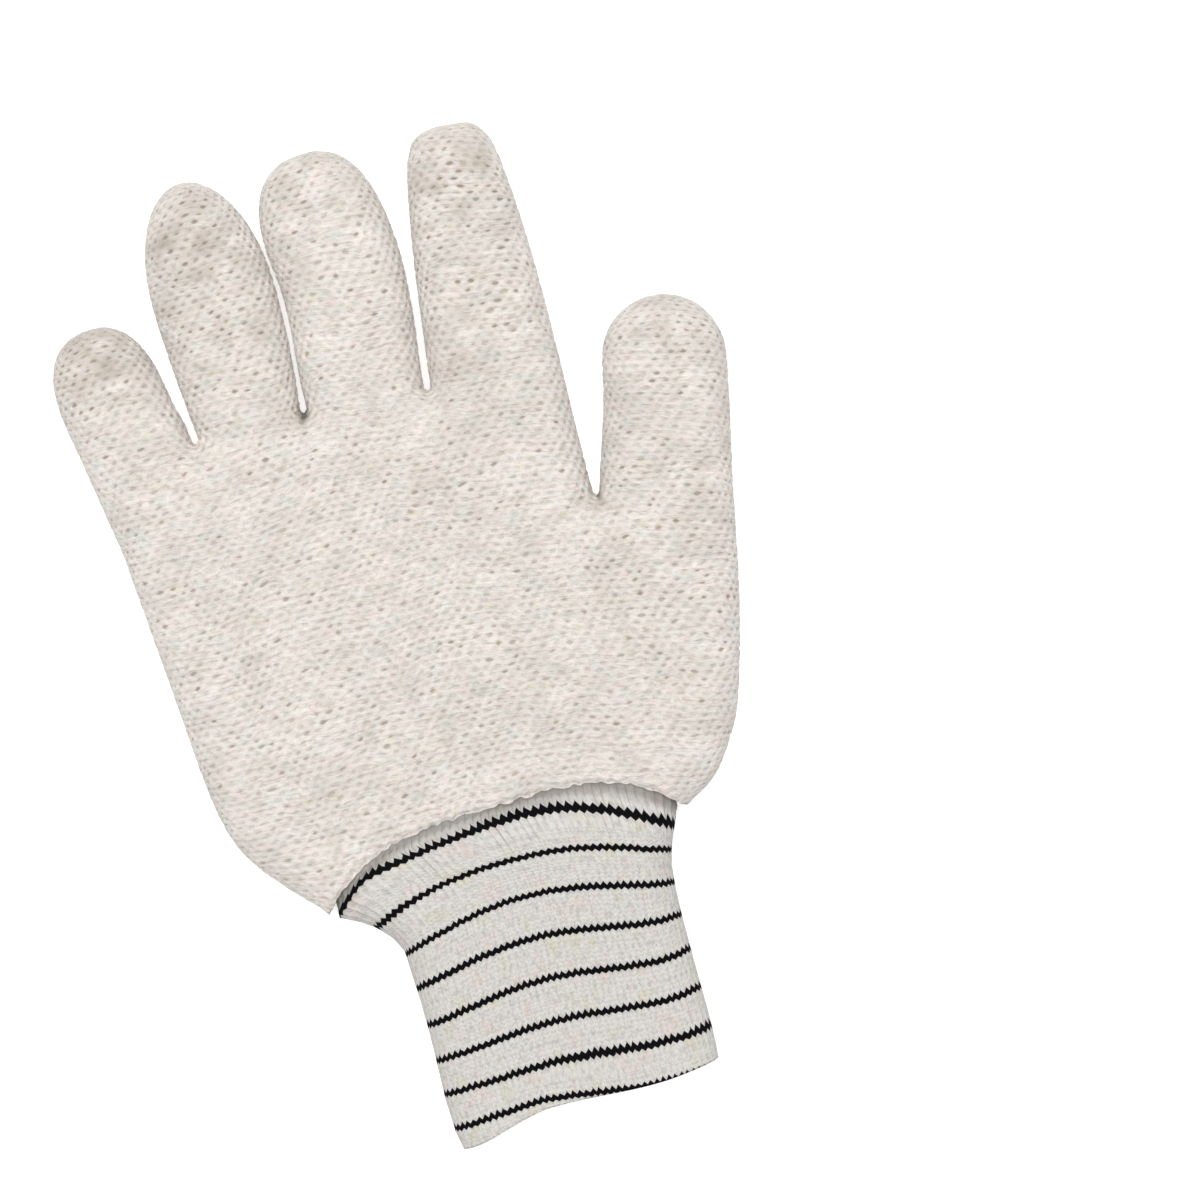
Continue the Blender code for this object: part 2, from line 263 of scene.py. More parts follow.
def seam_corners(node):
    """The places of the seam line that the frame's back panel has, in order, in millimetres."""
    shape = bmesh.new()
    shape.from_mesh(node.data)
    bmesh.ops.remove_doubles(shape, verts=shape.verts, dist=MERGE_DISTANCE)
    shape.normal_update()
    base = min(vertex.co.z for vertex in shape.verts)
    links = {}
    for edge in shape.edges:
        if max(vertex.co.z for vertex in edge.verts) - base > LEVEL_STEP or len(edge.link_faces) != 2:
            continue
        slopes = sorted(face.normal.z for face in edge.link_faces)
        if slopes[0] < FLAT_SLOPE and slopes[1] > EDGE_SLOPE:
            for near, far in (edge.verts, reversed(edge.verts)):
                links.setdefault(near.index, []).append(far.index)
    ends = [index for index, others in links.items() if len(others) == 1]
    shape.verts.ensure_lookup_table()
    start = min(ends, key=lambda index: shape.verts[index].co.x)
    path = [start]
    while len(path) < len(links):
        step = [index for index in links[path[-1]] if len(path) < 2 or index != path[-2]]
        if not step:
            break
        path.append(step[0])
    line = np.array([shape.verts[index].co.to_2d() for index in path]) / MM
    shape.free()
    return line


def sharp_places(line):
    """The indices where a line turns sharply, both ends included."""
    steps = np.diff(line, axis=0)
    steps /= np.linalg.norm(steps, axis=1)[:, None]
    turns = (steps[:-1] * steps[1:]).sum(axis=1)
    return [0] + [int(i) + 1 for i in np.flatnonzero(turns < CORNER_COSINE)] + [len(line) - 1]


def smooth_run(points, step):
    """A smooth curve through points, with places about a step apart."""
    slopes = np.gradient(points, axis=0)
    t = np.linspace(0.0, 1.0, CURVE_SAMPLES + 1)[:-1, None]
    pieces = []
    for start, end, leave, arrive in zip(points, points[1:], slopes, slopes[1:]):
        near = (2 * t**3 - 3 * t**2 + 1) * start + (t**3 - 2 * t**2 + t) * leave
        far = (3 * t**2 - 2 * t**3) * end + (t**3 - t**2) * arrive
        pieces.append(near + far)
    return even_steps(np.vstack(pieces + [points[-1:]]), step)


def lengths_along(run):
    """How far along a line each of its places is."""
    return np.concatenate(([0.0], np.cumsum(np.linalg.norm(np.diff(run, axis=0), axis=1))))


def even_steps(run, step):
    """The same line with places about a step apart."""
    lengths = lengths_along(run)
    stations = np.linspace(0.0, lengths[-1], max(2, round(lengths[-1] / step)) + 1)
    return np.column_stack([np.interp(stations, lengths, run[:, i]) for i in range(run.shape[1])])


def seam_line(node):
    """The whole seam line as a dense run, smooth but for the corners between the digits."""
    line = seam_corners(node)
    sharp = sharp_places(line)
    pieces = []
    for start, end in zip(sharp, sharp[1:]):
        pieces.append(smooth_run(line[start:end + 1], SEAM_STEP)[:-1])
    return np.vstack(pieces + [line[-1:]])


def mouth_rise(s, bow, power):
    """How far a line across the wrist bows towards the fingers; s runs from -1 to 1."""
    return bow * MOUTH_BOW * (1.0 - np.minimum(np.abs(s), 1.0) ** power)


def mouth_line(seam):
    """The edge of the wrist opening, from its thumb side to its little side, ends left out."""
    left, right = seam[0], seam[-1]
    s = np.linspace(1.0, -1.0, MOUTH_SAMPLES)[:, None]
    run = (left + right) / 2 + (right - left) / 2 * s
    run[:, 1] += mouth_rise(s[:, 0], 1.0, MOUTH_SQUARE)
    return even_steps(run, SEAM_STEP)[1:-1]


def nearest_on(line, points):
    """For each point, its distance to a dense line and the direction away from the line."""
    tree = KDTree(len(line))
    for i, place in enumerate(line):
        tree.insert((place[0], place[1], 0.0), i)
    tree.balance()
    hits = np.array([tree.find((x, y, 0.0))[1] for x, y in points])
    best = np.full(len(points), np.inf)
    away = np.zeros((len(points), 2))
    for shift in (-1, 0):
        start = np.clip(hits + shift, 0, len(line) - 2)
        span = line[start + 1] - line[start]
        offset = points - line[start]
        share = np.clip((offset * span).sum(axis=1) / (span**2).sum(axis=1), 0.0, 1.0)
        gap = offset - share[:, None] * span
        distance = np.linalg.norm(gap, axis=1)
        closer = distance < best
        best[closer] = distance[closer]
        away[closer] = gap[closer]
    return best, away / np.maximum(best, LEAST_DISTANCE)[:, None]


def is_inside(loop, points):
    """Which points lie within a closed loop."""
    inside = np.zeros(len(points), dtype=bool)
    for start, end in zip(loop, np.roll(loop, -1, axis=0)):
        if start[1] == end[1]:
            continue
        crosses = (start[1] > points[:, 1]) != (end[1] > points[:, 1])
        at = start[0] + (points[:, 1] - start[1]) / (end[1] - start[1]) * (end[0] - start[0])
        inside ^= crosses & (points[:, 0] < at)
    return inside


def line_normals(line):
    """The direction into the cloth at each place of the seam line, which runs clockwise."""
    spans = np.diff(line, axis=0)
    sides = np.column_stack((spans[:, 1], -spans[:, 0])) / np.linalg.norm(spans, axis=1)[:, None]
    mixed = np.vstack((sides[:1], sides[:-1] + sides[1:], sides[-1:]))
    return mixed / np.linalg.norm(mixed, axis=1)[:, None]


def row_bend(across):
    """How far the loops' rows sink at a place across the hand."""
    return ROW_BEND * np.maximum(across - ROW_BEND_START, 0.0) ** 2


def fill_triangles(loop, inner):
    """Triangles over a loop and the points inside it."""
    points = np.vstack((loop, inner))
    rim = list(range(len(loop)))
    result = delaunay_2d_cdt([Vector(point) for point in points], [], [rim], 1, SAME_POINT)
    return points, np.array([[result[3][i][0] for i in face] for face in result[2]])


class Plan:
    """The flat layout of a panel: dense rows of points that follow the loops, and a coarse one."""

    def __init__(self, seam):
        self.seam_count = len(seam)
        self.loop = np.vstack((seam, mouth_line(seam)))
        self.mouth = np.vstack((seam[-1:], self.loop[len(seam):], seam[:1]))
        self.points, self.triangles = fill_triangles(self.loop, self.lattice())
        self.distance, self.away = nearest_on(seam, self.points)
        self.distance[: len(seam)] = 0.0
        self.away[: len(seam)] = line_normals(seam)
        self.mouth_distance, _ = nearest_on(self.mouth, self.points)

    def keep_inside(self, points, margin):
        """The points inside the loop that are clear of its edge by a margin."""
        points = points[is_inside(self.loop, points)]
        closed = np.vstack((self.loop, self.loop[:1]))
        return points[nearest_on(closed, points)[0] > margin]

    def lattice(self):
        """Staggered points along the loops' rows."""
        low, high = self.loop.min(axis=0), self.loop.max(axis=0)
        step = ROW_PITCH / STEPS_PER_ROW
        rows = []
        for row in range(int((high[1] - low[1] + row_bend(high[0])) / step) + 1):
            across = np.arange(low[0] + LOOP_STEP / 2 * (row % 2), high[0], LOOP_STEP)
            rows.append(np.column_stack((across, low[1] + row * step - row_bend(across))))
        return self.keep_inside(np.vstack(rows), step * LATTICE_MARGIN)

    def lining(self):
        """Coarse staggered points for the inner side."""
        low, high = self.loop.min(axis=0), self.loop.max(axis=0)
        rows = []
        for row in range(int((high[1] - low[1]) / LINING_STEP) + 1):
            across = np.arange(low[0] + LINING_STEP / 2 * (row % 2), high[0], LINING_STEP)
            rows.append(np.column_stack((across, np.full(len(across), low[1] + row * LINING_STEP))))
        return self.keep_inside(np.vstack(rows), TERRY_WALL)


def fold(points, place, lean, half_length, half_width, depth):
    """The depth of one soft valley at each point."""
    lean = math.radians(lean)
    offset = points - place
    down = offset @ (math.sin(lean), math.cos(lean)) / half_length
    over = offset @ (math.cos(lean), -math.sin(lean)) / half_width
    return depth * np.exp(-(down**2) - over**2)


# Soft valleys in the back: place, lean in degrees, half length, half width and depth
BACK_FOLDS = (
    ((-28.0, -20.0), 15.0, 25.0, 6.5, 1.3),
    ((-7.0, -27.0), 15.0, 25.0, 6.0, 1.5),
    ((26.5, -12.5), -20.0, 30.0, 8.0, 0.9),
    ((-79.0, 93.5), 35.0, 9.0, 6.5, 1.2),
    ((-46.0, 120.5), 20.0, 9.0, 7.5, 1.1),
    ((-14.0, 127.5), 30.0, 8.0, 7.0, 1.0),
    ((26.5, 114.5), 25.0, 9.0, 6.5, 1.1),
)


class Side:
    """One panel's measures: its height at the seam, its rise from there, edge, direction and seed."""

    def __init__(self, base, rise, roll, direction, seed):
        self.base = base
        self.rise = rise
        self.roll = roll
        self.direction = direction
        self.seed = seed

    def noise(self, points, cell, seed):
        """Smooth random values of this panel's own."""
        return smooth_noise(points, cell, self.seed + seed)


def surface(points, distance, away, side):
    """A panel's smooth outer places, the way from them to its inner side, and 1 where it is level."""
    angle = np.minimum(distance / side.roll, 1.0) * math.pi / 2
    cos, sin = np.cos(angle), np.sin(angle)
    moved = side.roll * (1.0 - cos) - np.minimum(distance, side.roll)
    places = np.column_stack((points + away * moved[:, None], side.rise * sin))
    steep = np.hypot(cos / side.roll, sin / side.rise)
    inset = np.column_stack((away * (cos / side.roll / steep)[:, None], -sin / side.rise / steep))
    return places, inset, sin


# Swells in the back: the size of a patch, its height and its seed
SWELLS = (
    (26.0, 0.45, 4),
    (11.0, 0.30, 5),
)

# Uneven knitting: the size of a patch, how far it strays across and along, and its seed
DRIFTS = (
    (24.0, 1.2, 1.4, 10),
    (9.0, 0.9, 0.7, 20),
    (4.2, 0.50, 0.26, 30),
    (2.1, 0.40, 0.20, 40),
)


def unrolled(plan, side):
    """Where each point of a panel lies in the flat cloth, with its rounded edges unrolled."""
    angle = np.minimum(plan.distance / side.roll, 1.0) * math.pi / 2
    stretch = (side.rise + side.roll) / 2 / side.roll * math.pi / 2
    past = np.minimum(plan.distance, side.roll) - side.roll
    return plan.points + plan.away * (past * (stretch - 1.0) * np.cos(angle / 2))[:, None]


def loop_places(plan, side):
    """Where each point lies in the knit, in loops along a row and in rows."""
    cloth = unrolled(plan, side)
    for cell, across, along, seed in DRIFTS:
        over = across * side.noise(plan.points, cell, seed)
        up = along * side.noise(plan.points, cell, seed + 1)
        cloth = cloth + np.column_stack((over, up))
    rows = (cloth[:, 1] + row_bend(cloth[:, 0])) / ROW_PITCH
    return np.column_stack((cloth[:, 0] / LOOP_PITCH, rows))


def yarn_height(knit):
    """The height of the yarn at each place of the knit, from 0 in a gap to 1 on a loop's back."""
    row = np.round(knit[:, 1])
    along = knit[:, 0] - 0.5 * (row % 2)
    turn = 2 * math.pi * (along - np.round(along))
    across = knit[:, 1] - row - LOOP_SLANT * np.sin(turn)
    off = np.abs(np.abs(across) - 0.5 - LOOP_SWING * np.cos(turn))
    return np.sqrt(np.maximum(1.0 - (off / YARN_REACH) ** 2, 0.0))


# Where the loops are crumpled and gape: place, radius and amount
CRUMPLED = (
    ((-79.0, 95.0), 11.0, 1.10),
    ((-43.0, 124.0), 12.0, 0.80),
    ((-46.0, 100.0), 20.0, 0.40),
    ((-12.0, 127.0), 9.0, 0.70),
    ((29.0, 118.0), 12.0, 0.70),
    ((30.0, 96.0), 18.0, 0.35),
    ((78.0, 62.0), 14.0, 0.40),
    ((74.0, 10.0), 26.0, 0.25),
)

# Where the cloth turns grey: place, radius and amount; the last two rows are painted shade in the crotches
# between the digits
SHADED = (
    ((-78.0, 97.0), 13.0, 0.70),
    ((-42.0, 120.0), 13.0, 0.60),
    ((-52.0, 121.0), 7.0, 0.50),
    ((-43.0, 100.0), 20.0, 0.25),
    ((-13.0, 127.0), 9.0, 0.75),
    ((27.0, 117.0), 11.0, 0.65),
    ((36.0, 121.0), 5.0, 0.50),
    ((20.0, 76.0), 11.0, 0.30),
    ((79.0, 66.0), 9.0, 0.45),
    ((76.0, 30.0), 26.0, 0.20),
    # Painted shade in the crotch between ring and middle finger and in the one between index finger and
    # thumb
    ((-25.9, 67.9), 3.6, 5.00),
    ((45.7, 25.5), 4.0, 2.60),
)


def nearness(points, place, radius):
    """1 at a place, and softly less around it."""
    return np.exp(-(((points - place) / radius) ** 2).sum(axis=1))


def shade(plan, side):
    """How grey the cloth is at each place, from 0 up, painted shade in the crotches between the digits
    included.
    """
    if side.direction < 0:
        return np.zeros(len(plan.points))
    mottle = side.noise(plan.points, FINE_GREY_CELL, FINE_GREY_SEED)
    wide = side.noise(plan.points, WIDE_GREY_CELL, WIDE_GREY_SEED)
    amount = GREY + FINE_GREY * mottle + WIDE_GREY * wide
    for place, radius, more in SHADED:
        amount = amount + more * nearness(plan.points, place, radius) * (1.0 + mottle)
    return np.maximum(amount, 0.0)


def openness(plan, knit, side):
    """How far the gap at each place gapes, from 0 to 1; it differs from loop to loop."""
    row = np.round(knit[:, 1]).astype(int)
    loop = np.round(knit[:, 0] - 0.5 * (row % 2)).astype(int)
    draws = np.random.default_rng(side.seed + OPEN_SEED)
    table = draws.uniform(0.0, 1.0, (LUCK_SIZE, LUCK_SIZE))
    luck = table[loop % LUCK_SIZE, row % LUCK_SIZE]
    patch = 0.5 + 0.5 * side.noise(plan.points, PATCH_CELL, PATCH_SEED)
    amount = OPEN_LEAST + OPEN_LUCK * luck**OPEN_POWER + OPEN_PATCH * patch
    for place, radius, more in CRUMPLED:
        loose = CRUMPLED_EVEN + (1.0 - CRUMPLED_EVEN) * luck
        amount = amount + more * nearness(plan.points, place, radius) * loose
    return np.clip(amount, 0.0, 1.0) * np.clip(plan.mouth_distance / EDGE_CLOSED_REACH, EDGE_CLOSED, 1.0)


def vertex_normals(places, triangles):
    """The normal at each place, mixed from the faces round it."""
    corners = places[triangles]
    faces = np.cross(corners[:, 1] - corners[:, 0], corners[:, 2] - corners[:, 0])
    normals = np.zeros_like(places)
    for i in range(3):
        np.add.at(normals, triangles[:, i], faces)
    lengths = np.linalg.norm(normals, axis=1)
    return normals / np.maximum(lengths, LEAST_NORMAL)[:, None]


def terry_surface(plan, side):
    """The outer places of a panel with its folds, its soft wrist edge and its loops."""
    places, _, sin = surface(plan.points, plan.distance, plan.away, side)
    relief = np.zeros(len(places))
    if side.direction > 0:
        for spot in BACK_FOLDS:
            relief -= fold(plan.points, *spot)
        for cell, rise, seed in SWELLS:
            relief += rise * side.noise(plan.points, cell, seed)
        relief += EDGE_SWELL * np.exp(-(((plan.mouth_distance - EDGE_SWELL_AT) / EDGE_SWELL_REACH) ** 2))
    share = np.clip(1.0 - plan.mouth_distance / TERRY_WALL, 0.0, 1.0)
    rolled = (TERRY_WALL - EDGE_THICKNESS) * (1.0 - np.sqrt(1.0 - share**2))
    places[:, 2] += relief * sin**2 - rolled * sin
    uneven = EDGE_LOOPS * side.noise(plan.points, EDGE_LOOP_CELL, EDGE_SEED)
    places[:, 1] -= share * (EDGE_REACH + uneven)
    knit = loop_places(plan, side)
    opened = openness(plan, knit, side)
    height = 1.0 - (1.0 - yarn_height(knit)) * (CLOSED_DEPTH + (1.0 - CLOSED_DEPTH) * opened)
    height += YARN_UNEVEN * side.noise(knit * YARN_CHANGES, 1.0, YARN_SEED)
    sunk = BACK_SUNK if side.direction > 0 else PALM_SUNK
    bump = LOOP_DEPTH * (height - sunk) * np.clip(plan.mouth_distance / EDGE_FADE, 0.0, 1.0)
    normals = vertex_normals(places, plan.triangles)
    return places + normals * bump[:, None], knit, opened


def inner_surface(plan, side):
    """The inner places of a panel and its triangles, coarse but for its edge."""
    points, triangles = fill_triangles(plan.loop, plan.lining())
    distance, away = nearest_on(plan.loop[: plan.seam_count], points)
    distance[: plan.seam_count] = 0.0
    away[: plan.seam_count] = line_normals(plan.loop[: plan.seam_count])
    places, inset, sin = surface(points, distance, away, side)
    if side.direction > 0:
        for spot in BACK_FOLDS:
            places[:, 2] -= fold(points, *spot) * sin**2
    return places + inset * TERRY_WALL, triangles


def add_mesh(name, places, faces):
    """An object of that mesh, with its places in millimetres and faces of one size."""
    mesh = bpy.data.meshes.new(name)
    mesh.vertices.add(len(places))
    mesh.vertices.foreach_set("co", (places * MM).astype(np.float32).ravel())
    mesh.loops.add(faces.size)
    mesh.loops.foreach_set("vertex_index", faces.astype(np.int32).ravel())
    mesh.polygons.add(len(faces))
    starts = np.arange(len(faces)) * faces.shape[1]
    mesh.polygons.foreach_set("loop_start", starts.astype(np.int32))
    mesh.update(calc_edges=True)
    mesh.validate()
    mesh.shade_smooth()
    piece = bpy.data.objects.new(name, mesh)
    bpy.context.scene.collection.objects.link(piece)
    return piece


def corner_vertices(mesh):
    """The vertex at each corner of the faces."""
    corners = np.zeros(len(mesh.loops), dtype=np.int32)
    mesh.loops.foreach_get("vertex_index", corners)
    return corners


def set_knit(mesh, places):
    """Stores the place in the knit of each corner of the faces as the mesh's texture map."""
    layer = mesh.uv_layers.new(name="knit")
    layer.data.foreach_set("uv", places.astype(np.float32).ravel())


def set_values(mesh, name, values):
    """Stores one number for each vertex."""
    attribute = mesh.attributes.new(name, "FLOAT", "POINT")
    attribute.data.foreach_set("value", values.astype(np.float32))


def terry_panel(name, node, plan, side, material):
    """A terry panel as a closed shell of loops outside and plain knit inside."""
    outer, knit, opened = terry_surface(plan, side)
    inner, inner_triangles = inner_surface(plan, side)
    count = len(outer)
    rim = len(plan.loop)
    i = np.arange(rim)
    j = (i + 1) % rim
    strip = np.vstack((
        np.column_stack((i, j, count + j)),
        np.column_stack((i, count + j, count + i)),
    ))
    places = np.vstack((outer, inner))
    places[:, 2] = side.base + side.direction * places[:, 2]
    faces = np.vstack((plan.triangles, inner_triangles[:, ::-1] + count, strip[:, ::-1]))
    if side.direction < 0:
        faces = faces[:, ::-1]
    piece = add_mesh(name, places, faces)
    inner_knit = inner[:, :2] / (LOOP_PITCH, ROW_PITCH)
    set_knit(piece.data, np.vstack((knit, inner_knit))[corner_vertices(piece.data)])
    set_values(piece.data, "opened", np.concatenate((opened, np.full(len(inner), LINING_OPEN))))
    set_values(piece.data, "shade", np.concatenate((shade(plan, side), np.zeros(len(inner)))))
    finish_piece(piece, node, material)
    cloth = unrolled(plan, side)
    flat_area(cloth, plan.triangles) * MM**2
    return piece


def flat_area(points, triangles):
    """The area of flat triangles."""
    corners = points[triangles]
    first, second = corners[:, 1] - corners[:, 0], corners[:, 2] - corners[:, 0]
    return np.abs(first[:, 0] * second[:, 1] - first[:, 1] * second[:, 0]).sum() / 2


def finish_piece(piece, node, material):
    """Gives a piece its finish and puts it in its node's place on the glove."""
    piece.data.materials.append(material)
    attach(piece, "root")
    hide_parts(node)


# The wrist tube's rings: share of its length below the opening, flare, bow, under and upper drop,
# and millimetres that its little side is drawn in
RINGS = np.array((
    (-CUFF_INSERT / CUFF_LENGTH, 1.00, 1.00, 0.00, 0.00, 0.0),
    (0.00, 1.00, 1.00, 0.00, 0.00, 0.0),
    (0.03, 1.00, 0.92, 0.05, 0.00, -1.3),
    (0.07, 0.83, 0.66, 0.25, 0.02, 1.8),
    (0.11, 0.60, 0.53, 0.50, 0.05, 2.4),
    (0.16, 0.36, 0.48, 0.80, 0.12, 2.3),
    (0.22, 0.16, 0.41, 0.97, 0.22, 1.6),
    (0.31, 0.05, 0.31, 1.00, 0.40, 0.3),
    (0.42, 0.00, 0.19, 1.00, 0.62, 0.0),
    (0.60, 0.00, 0.07, 1.00, 0.88, 0.0),
    (0.80, 0.03, 0.00, 1.00, 1.00, 0.0),
    (0.93, 0.00, -0.08, 1.00, 1.00, 0.0),
    (1.00, -0.07, -0.06, 1.00, 1.00, 0.0),
))


def soft_step(value, low, high):
    """A smooth rise from 0 at the low value to 1 at the high one."""
    share = np.clip((value - low) / (high - low), 0.0, 1.0)
    return share * share * (3.0 - 2.0 * share)


class Tube:
    """The wrist tube's form, worked out from the opening's ends and the panels' heights."""

    def __init__(self, seam, back, palm, middle):
        self.left, self.right = seam[0], seam[-1]
        self.back_rise, self.palm_rise = back.rise, palm.rise
        self.seam_height = (back.base + palm.base) / 2
        self.middle = middle

    def ring(self, share, wall, count):
        """Places round the tube at a share of its length, evenly spaced along the ring."""
        flare, bow, under_drop, upper_drop, drawn = [
            np.interp(share, RINGS[:, 0], column) for column in RINGS[:, 1:].T
        ]
        mouth_half = (self.right[0] - self.left[0]) / 2 - TERRY_WALL - CUFF_CLEARANCE
        half = CUFF_WIDTH / 2 + flare * (mouth_half - CUFF_WIDTH / 2) - drawn / 2
        middle = self.middle + flare * ((self.left[0] + self.right[0]) / 2 - self.middle) + drawn / 2
        mouth_slant = (self.right[1] - self.left[1]) / 2
        slant = mouth_slant + max(share, 0.0) * (HEM_SLANT - mouth_slant)
        full_drop = TERRY_WALL + CUFF_CLEARANCE
        under = self.palm_rise - full_drop
        height = self.seam_height - under_drop * (self.seam_height - under)
        upper = self.back_rise - full_drop + (under_drop - upper_drop) * full_drop
        across, up = self.section(half, upper, under, wall, count).T
        s = across / half
        power = MOUTH_SQUARE + (TUBE_ROUND - MOUTH_SQUARE) * soft_step(share, *SQUARE_SPAN)
        along = (self.left[1] + self.right[1]) / 2 - share * CUFF_LENGTH
        along = along + mouth_rise(s, bow, power) + slant * s
        lift = HEM_LIFT * soft_step(s, *LIFT_SPAN) - HEM_SINK * soft_step(s, *SINK_SPAN)
        along += lift * soft_step(share, HEM_START, 1.0)
        return np.column_stack((middle + across, along, height + up))

    def section(self, half, upper, under, wall, count):
        """Evenly spaced places round a flat oval, seen along the tube, from its thumb side over the top."""
        drop = TERRY_WALL + CUFF_CLEARANCE
        angles = np.linspace(0.0, math.pi / 2, CORNER_STEPS + 1)
        corners = []
        for side, roll, rise in ((1, BACK_ROLL, upper), (-1, PALM_ROLL, under)):
            reach = roll - drop - wall
            flat = half - wall - reach
            corner = side * np.column_stack((flat + reach * np.cos(angles), (rise - wall) * np.sin(angles)))
            corners += [corner, corner[::-1] * (-1.0, 1.0)]
        run = np.vstack(corners + [corners[0][:1]])
        lengths = lengths_along(run)
        stations = np.linspace(0.0, lengths[-1], count + 1)[:-1]
        return np.column_stack([np.interp(stations, lengths, run[:, i]) for i in range(2)])


def tube_grid(tube, shares, wall, count):
    """Rings of places at the given shares of the tube's length."""
    return np.array([tube.ring(share, wall, count) for share in shares])


def grid_faces(rows, count, start, flip):
    """Quads between the rings of a closed grid whose places begin at a number."""
    i = np.arange(count)
    j = (i + 1) % count
    faces = []
    for row in range(rows - 1):
        a, b = start + row * count, start + (row + 1) * count
        quad = np.column_stack((a + i, a + j, b + j, b + i))
        faces.append(quad[:, ::-1] if flip else quad)
    return np.vstack(faces)


def rib_relief(below, rib):
    """How far the knit stands out, from the depth below the opening and the rib's number."""
    ridge = np.abs(np.cos(math.pi * rib)) ** RIB_ROUND
    gather = np.exp(-below / GATHER_REACH)
    pleats = smooth_noise(np.column_stack((rib / PLEAT_RIBS, rib * 0)), 1.0, PLEAT_SEED)
    groove = GROOVE_DEPTH * np.exp(-((below / GROOVE_REACH) ** 2))
    depth = RIB_DEPTH * (1.0 + RIB_GATHERED * gather)
    return depth * (ridge - RIB_LEVEL) + GATHER_DEPTH * pleats * gather - groove


def tube_ends(count, outer_size, inner_size):
    """Quads that join the outer grid's first and last rings to the inner one's."""
    i = np.arange(count)
    j = (i + 1) % count
    last, inner_last = outer_size - count, outer_size + inner_size - count
    return np.vstack((
        np.column_stack((i, j, outer_size + j, outer_size + i)),
        np.column_stack((last + j, last + i, inner_last + i, inner_last + j)),
    ))


def rib_tube(tube, material):
    """The knit wrist tube with its ribs, gathered where it goes into the body."""
    count = RIBS * STEPS_PER_RIB
    low = -CUFF_INSERT / CUFF_LENGTH
    rows = round((1.0 - low) * CUFF_LENGTH / TUBE_STEP)
    shares = np.linspace(low, 1.0, rows + 1)
    grid = tube_grid(tube, shares, 0.0, count)
    lengths = np.linalg.norm(np.gradient(grid, axis=0), axis=2) / np.gradient(shares)[:, None]
    flat = grid.reshape(-1, 3)
    inner = tube_grid(tube, np.linspace(low, 1.0, INNER_RINGS), CUFF_WALL, count).reshape(-1, 3)
    outer_faces = grid_faces(len(shares), count, 0, True)
    triangles = np.vstack((outer_faces[:, :3], outer_faces[:, [0, 2, 3]]))
    below = np.maximum(shares, 0.0)[:, None] * CUFF_LENGTH
    relief = rib_relief(below, np.arange(count) / STEPS_PER_RIB).ravel()
    flat = flat + vertex_normals(flat, triangles) * relief[:, None]
    flat[:, 2] = np.maximum(flat[:, 2], LOWEST)
    inner_faces = grid_faces(INNER_RINGS, count, len(flat), False)
    faces = np.vstack((outer_faces, inner_faces, tube_ends(count, len(flat), len(inner))))
    piece = add_mesh("rib_tube", np.vstack((flat, inner)), faces)
    stripe, steps = stripe_levels(shares, grid[:, :, 0])
    set_tube_map(piece.data, count, len(flat), len(inner), stripe, lengths * steps)
    inner_below = np.full(len(inner), INNER_BELOW)
    set_values(piece.data, "below", np.concatenate((np.repeat(below, count), inner_below)))
    finish_piece(piece, "rib_cuff", material)
    return piece


def stripe_levels(shares, across):
    """The stripe number at each place of the tube's grid, and how much of the tube a step takes."""
    fits = [np.polynomial.Polynomial.fit(DRIFT_ACROSS, row[1:], DRIFT_DEGREE) for row in STRIPE_DRIFT]
    rows = np.array([fit(np.clip(across[0], DRIFT_ACROSS[0], DRIFT_ACROSS[-1])) for fit in fits])
    drift = np.array([
        [np.interp(share, STRIPE_DRIFT[:, 0], column) for column in rows.T]
        for share in shares
    ])
    moved = shares[:, None] + drift / CUFF_LENGTH
    middles = np.array((2 * STRIPES[0] - STRIPES[1],) + STRIPES + (2 * STRIPES[-1] - STRIPES[-2],))
    stripe = np.interp(moved, middles, np.arange(len(middles)))
    stripe = np.where(moved < STRIPES[0], np.maximum(stripe, BARE_LEVEL), stripe)
    return stripe, np.interp(moved, (middles[1:] + middles[:-1]) / 2, np.diff(middles))


def set_tube_map(mesh, count, outer_size, inner_size, stripe, spacing):
    """Stores rib and stripe numbers as the texture map, and each stripe step's length beside them."""
    corners = corner_vertices(mesh)
    inner = corners >= outer_size
    column = np.where(inner, corners - outer_size, corners) % count
    sides = column.reshape(-1, 4)
    wraps = (sides.max(axis=1) - sides.min(axis=1) > count / 2)[:, None] & (sides < count / 2)
    rib = (sides + wraps * count).ravel() / STEPS_PER_RIB
    level = np.where(inner, INNER_LEVEL, stripe.ravel()[np.where(inner, 0, corners)])
    set_knit(mesh, np.column_stack((rib, level)))
    values = np.concatenate((spacing.ravel(), np.full(inner_size, INNER_SPACING)))
    set_values(mesh, "spacing", values)


